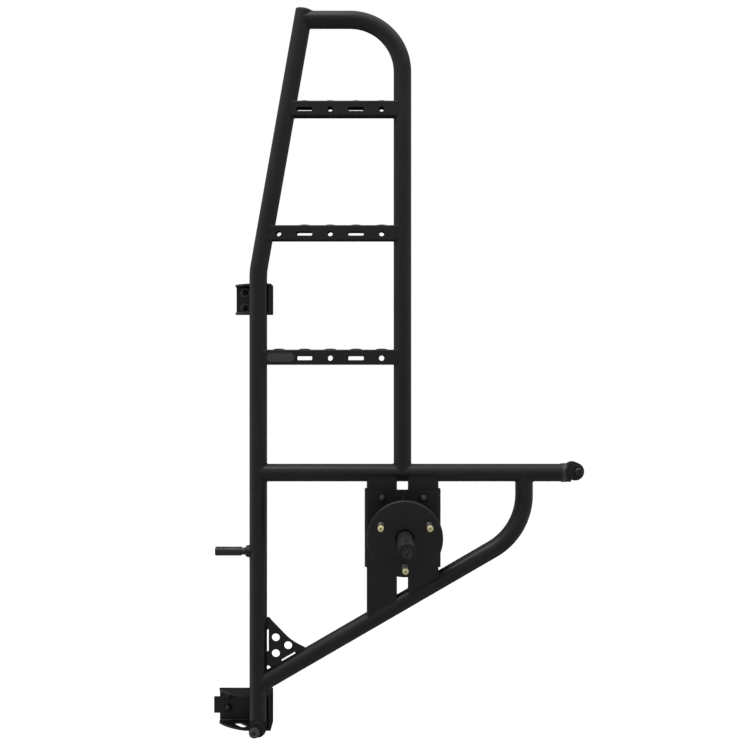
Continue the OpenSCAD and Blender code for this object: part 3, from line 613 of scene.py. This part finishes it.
# Side peg: a chamfered nut welded to the stile and a smooth sleeve on a screw in it.
# The sleeve is glossy black plastic with a lip at its inner end and two fine grooves.
PEG_HEIGHT, PEG_NUT_RADIUS, PEG_WELD = 0.4106, 0.015, 0.0015
finish_node("side_peg_nut", powder)
peg_line = saddle_line(round_section(PEG_NUT_RADIUS), (0, TUBE_PLANE, PEG_HEIGHT), (-1, 0, 0), (0, 0, 1),
                       TUBE_RADIUS)
weld_round("weld_side_peg", peg_line, PEG_WELD)
glossy = coat("gloss black sleeve", (0.006, 0.006, 0.0065), (0.009, 0.009, 0.0095), 0.18, 0.26, 500, 0.4)
grip_start, grip_end = 0.0419, 0.1084
sleeve = turned("side_peg_sleeve", [
    (0, 0.0236), (0.0078, 0.0236), (0.0078, 0.0318), (0.0092, 0.0322), (0.0092, grip_start),
    (0.0104, grip_start), (0.0115, grip_start + 0.0012), (0.0115, grip_start + 0.0042),
    (0.0111, grip_start + 0.0048), (0.0113, grip_start + 0.0060), (0.0113, grip_end - 0.0200),
    (0.0109, grip_end - 0.0194), (0.0113, grip_end - 0.0186), (0.0113, grip_end - 0.0106),
    (0.0109, grip_end - 0.0100), (0.0114, grip_end - 0.0092), (0.0115, grip_end - 0.0030),
    (0.0108, grip_end - 0.0008), (0.0096, grip_end), (0, grip_end)],
    (0, TUBE_PLANE, PEG_HEIGHT), (-1, 0, 0), 64)
hand_over(sleeve, glossy, "side_peg_grip")


# Wheel carrier: two flat sided uprights welded between cross tube and brace, a folded plate
# that slides on them, and a square tube with two ribs that carries the wheel disc.
SLIDE_FRONT, DISC_BACK, DISC_FRONT, DISC_HEIGHT = -0.11025, -0.30025, -0.30825, 0.4723
UPRIGHT_PLACES = (("left", 0.3119), ("right", 0.4161))
UPRIGHT_WELD, STANDOFF_WELD, RIB_HEIGHT, RIB_EDGE = 0.0015, 0.002, 0.0383, 0.0042
for part in ("upright_left", "upright_right", "slide_plate", "standoff_tube", "standoff_rib_top",
             "standoff_rib_bottom"):
    finish_node(part, powder)
upright_section = soft_section(0.0762, 0.0381, 0.006)
for side, x in UPRIGHT_PLACES:
    foot_height = BRACE_FOOT + x * BRACE_AXIS[2] / BRACE_AXIS[0]
    head_line = saddle_line(upright_section, (x, TUBE_PLANE, CROSS_HEIGHT), (0, 0, -1), (1, 0, 0),
                            TUBE_RADIUS)
    foot_line = saddle_line(upright_section, (x, TUBE_PLANE, foot_height), (0, 0, 1), BRACE_AXIS,
                            TUBE_RADIUS)
    weld_round("weld_upright_%s_head" % side, head_line, UPRIGHT_WELD)
    weld_round("weld_upright_%s_foot" % side, foot_line, UPRIGHT_WELD)
standoff_section = soft_section(0.0764, 0.0764, 0.002)
for end, y in (("back", SLIDE_FRONT - 0.0006), ("front", DISC_BACK + 0.0006)):
    outline = [(STILE_SPACING + a, y, DISC_HEIGHT + b) for a, b in standoff_section]
    weld_round("weld_standoff_" + end, outline, STANDOFF_WELD)
for rib, z in (("top", DISC_HEIGHT + RIB_HEIGHT), ("bottom", DISC_HEIGHT - RIB_HEIGHT)):
    for side, x in (("left", STILE_SPACING - RIB_EDGE), ("right", STILE_SPACING + RIB_EDGE)):
        ends = [(x, SLIDE_FRONT - 0.006, z), (x, DISC_BACK + 0.006, z)]
        weld_run("weld_rib_%s_%s" % (rib, side), ends, UPRIGHT_WELD)


# Slide bolts: four black bolts with washers and hexagon nuts clamp the plate to the uprights.
# Each front nut has its corners turned off and a little of the bolt's end stands out of it.
def chamfered_nut(x, z, back, front, corners):
    """A hexagon nut whose front corners are turned off."""
    six = prism(x, z, back, front, corners)
    step = 1 if front < back else -1
    blank = turned("blank", [
        (0, back + step * 0.001), (corners / 2 + 0.0002, back + step * 0.001),
        (corners / 2 + 0.0002, front + step * 0.0014), (corners / 2 - 0.0022, front), (0, front)],
        (x, 0, z), (0, 1, 0), 48)
    cut_with(six, blank, "INTERSECT")
    return six


def washer(x, z, back, front, wide):
    """A flat round washer along Y with its edges broken."""
    edge = 0.0004 if back > front else -0.0004
    return turned("washer", [
        (0, back), (wide / 2 - 0.0004, back), (wide / 2, back - edge), (wide / 2, front + edge),
        (wide / 2 - 0.0004, front), (0, front)], (x, 0, z), (0, 1, 0), 48)


UPRIGHT_BACK, WASHER_WIDE, NUT_CORNERS = -0.06595, 0.027, 0.021
for up, z in (("upper", 0.5490), ("lower", 0.3930)):
    for side, x in UPRIGHT_PLACES:
        shank = turned("shank", [
            (0, UPRIGHT_BACK + 0.014), (0.0052, UPRIGHT_BACK + 0.014), (0.006, UPRIGHT_BACK + 0.0132),
            (0.006, SLIDE_FRONT - 0.0128), (0.0052, SLIDE_FRONT - 0.0136), (0.0044, SLIDE_FRONT - 0.0138),
            (0, SLIDE_FRONT - 0.0138)], (x, 0, z), (0, 1, 0), 40)
        # a depth below zero counts as none, so the rear nut is missing or flat
        pieces = [shank, washer(x, z, SLIDE_FRONT - 0.0002, SLIDE_FRONT - 0.0026, WASHER_WIDE),
                  chamfered_nut(x, z, SLIDE_FRONT - 0.0026, SLIDE_FRONT - 0.0112, NUT_CORNERS),
                  washer(x, z, UPRIGHT_BACK + 0.0026, UPRIGHT_BACK + 0.0002, WASHER_WIDE),
                  chamfered_nut(x, z, UPRIGHT_BACK + 0.0026, UPRIGHT_BACK + 0.0110, NUT_CORNERS)]
        for piece in pieces:
            piece.data.materials.clear()
            piece.data.materials.append(zinc_painted_paler if piece is shank else dark_oxide)
        bolt = join_pieces("slide_screw_%s_%s" % (up, side), pieces)
        hand_over(bolt, None, "slide_bolt_%s_%s" % (up, side))


# Wheel disc: round plate cut from thick sheet, its edge rounded over towards the wheel,
# with a clearance hole for the hub stub and three holes for the studs.
STUD_CIRCLE, DISC_RADIUS, DISC_ROUND = 0.065, 0.0900, 0.005
STUD_SPOTS = []
for place, angle in (("left", 150), ("right", 30), ("bottom", 270)):
    STUD_SPOTS.append((place, STILE_SPACING + STUD_CIRCLE * math.cos(math.radians(angle)),
                       DISC_HEIGHT + STUD_CIRCLE * math.sin(math.radians(angle))))
rim = []
for degrees in range(0, 91, 15):
    turn = math.radians(degrees)
    rim.append((DISC_RADIUS - DISC_ROUND + DISC_ROUND * math.sin(turn),
                DISC_FRONT + DISC_ROUND - DISC_ROUND * math.cos(turn)))
disc = turned("wheel_plate", [(0.0215, DISC_BACK), (0.0215, DISC_FRONT + 0.0006), (0.0221, DISC_FRONT)] + rim
              + [(DISC_RADIUS, DISC_BACK + 0.0008), (DISC_RADIUS - 0.0008, DISC_BACK)],
              (STILE_SPACING, 0, DISC_HEIGHT), (0, 1, 0), 128)
for place, x, z in STUD_SPOTS:
    cut_with(disc, prism(x, z, DISC_BACK + 0.001, DISC_FRONT - 0.001, 0.0122, 40))
smooth_edges(disc, 25)
hand_over(disc, powder, "wheel_disc")


# Wheel studs and nuts: three long zinc plated threaded studs, each with a round brass
# coloured nut that takes a six sided key.
zinc = coat("zinc plated stud", (0.05, 0.05, 0.048), (0.09, 0.09, 0.086), 0.3, 0.45, 800, 0.5)
pale_zinc = coat("zinc plated washer", (0.15, 0.15, 0.145), (0.23, 0.23, 0.22), 0.3, 0.42, 800, 0.5)
brass = coat("brass coloured nut", (0.50, 0.47, 0.26), (0.63, 0.59, 0.34), 0.25, 0.38, 600, 0.5)
for metal, bare in ((zinc, 1), (pale_zinc, 1), (brass, 0.6)):
    metal.node_tree.nodes["Principled BSDF"].inputs["Metallic"].default_value = bare
NUT_FRONT, STUD_FRONT = DISC_FRONT - 0.066, DISC_FRONT - 0.058
THREAD_PITCH, THREAD_CORE, THREAD_DEEP, THREAD_STEP = 0.0015, 0.0047, 0.0008, 0.00025


def threaded_stud(x, z, back, front):
    """A threaded stud along Y, one turn of the thread to a pitch."""
    rows = round((back - front) / THREAD_STEP)
    bpy.ops.mesh.primitive_uv_sphere_add(segments=24, ring_count=rows, radius=1)
    stud = bpy.context.object
    for vertex in stud.data.vertices:
        k = round(math.acos(max(-1, min(1, vertex.co.z))) * rows / math.pi)
        angle = math.atan2(vertex.co.y, vertex.co.x)
        far = (back - front) * k / rows
        wave = abs(((far / THREAD_PITCH + angle / math.tau) % 1) * 2 - 1)
        radius = 0 if k in (0, rows) else THREAD_CORE + THREAD_DEEP * wave
        vertex.co = (x + radius * math.cos(angle), back - far, z - radius * math.sin(angle))
    bpy.ops.object.mode_set(mode="EDIT")
    bpy.ops.mesh.select_all(action="SELECT")
    bpy.ops.mesh.normals_make_consistent(inside=False)
    bpy.ops.object.mode_set(mode="OBJECT")
    smooth_edges(stud)
    return stud


place, x, z = STUD_SPOTS[0]
stud = threaded_stud(x, z, DISC_BACK, STUD_FRONT)
foot = washer(x, z, DISC_FRONT - 0.0002, DISC_FRONT - 0.0030, 0.0150)
stud.data.materials.append(zinc)
foot.data.materials.append(pale_zinc)
screw = join_pieces("stud", [stud, foot])
nut = turned("nut", [
    (0, NUT_FRONT + 0.0076), (0.0057, NUT_FRONT + 0.0080), (0.0057, NUT_FRONT + 0.0140),
    (0.0062, NUT_FRONT + 0.0140), (0.00725, NUT_FRONT + 0.0128), (0.00725, NUT_FRONT + 0.0034),
    (0.0068, NUT_FRONT + 0.0016), (0.0058, NUT_FRONT + 0.0004), (0.0046, NUT_FRONT), (0, NUT_FRONT)],
    (x, 0, z), (0, 1, 0), 48)
cut_with(nut, prism(x, z, NUT_FRONT + 0.005, NUT_FRONT - 0.001, 0.0062))
smooth_edges(nut)
for kind, piece, finish, slot, node in [("wheel_screw_", screw, None, "steel_bolts", "wheel_stud_"),
                                        ("wheel_nut_", nut, brass, "brass_nuts", "lug_nut_")]:
    copies = with_copies(piece, [(kind + place, x, z) for place, x, z in STUD_SPOTS])
    for (place, x, z), copied in zip(STUD_SPOTS, copies):
        hand_over(copied, finish, node + place)


# Hub stub: round tube through the disc, with a cross hole for a lock near its end
# and a black plastic plug pressed into the end.
STUB_FRONT = DISC_FRONT - 0.198
HUB_PLACE = (STILE_SPACING, 0, DISC_HEIGHT)
# a paler copy of the black coat that paints light onto the side of the hub stub
stub_coat_painted_light = coat("black coat painted paler for light", (0.012, 0.012, 0.012), (0.019, 0.019, 0.019), 0.34, 0.44, 900, 0.3)
stub = turned("hub_tube", [
    (0.01505, DISC_BACK), (0.01905, DISC_BACK), (0.01905, STUB_FRONT + 0.0006), (0.0188, STUB_FRONT + 0.0002),
    (0.0185, STUB_FRONT), (0.0154, STUB_FRONT), (0.01505, STUB_FRONT + 0.0003)], HUB_PLACE, (0, 1, 0), 96)
bpy.ops.mesh.primitive_cylinder_add(vertices=40, radius=0.005, depth=0.05,
                                    location=(STILE_SPACING, STUB_FRONT + 0.024, DISC_HEIGHT))
lock_drill = bpy.context.object
bpy.ops.object.transform_apply(location=True, rotation=True, scale=True)
cut_with(stub, lock_drill)
smooth_edges(stub)
# the side of the tube has a paler copy of the black coat, painted lighter to stand for the light on it; the
# end face keeps the darker frame coat
stub.data.materials.append(stub_coat_painted_light)
stub.data.materials.append(powder)
for face in stub.data.polygons:
    face.material_index = int(face.center.y < STUB_FRONT + 0.0005)
hand_over(stub, None, "hub_stub")

moulded = coat("moulded black plastic", (0.008, 0.008, 0.008), (0.014, 0.014, 0.014), 0.4, 0.52, 1500, 0.4)
plug = turned("hub_plug", [
    (0, STUB_FRONT + 0.014), (0.0138, STUB_FRONT + 0.014), (0.01485, STUB_FRONT + 0.0125),
    (0.01485, STUB_FRONT + 0.0028), (0.0141, STUB_FRONT + 0.0020), (0.0118, STUB_FRONT + 0.0020),
    (0.0108, STUB_FRONT + 0.0032), (0.0060, STUB_FRONT + 0.0038), (0.0052, STUB_FRONT + 0.0028),
    (0.0040, STUB_FRONT + 0.0025), (0, STUB_FRONT + 0.0025)], HUB_PLACE, (0, 1, 0), 64)
# three small moulding marks
for across, up in ((0, 0.0105), (-0.0082, 0.0048), (0, -0.0078)):
    cut_with(plug, prism(STILE_SPACING + across, DISC_HEIGHT + up, STUB_FRONT + 0.009, STUB_FRONT - 0.001,
                         0.0042, 24))
smooth_edges(plug)
hand_over(plug, moulded, "hub_stub_cap")
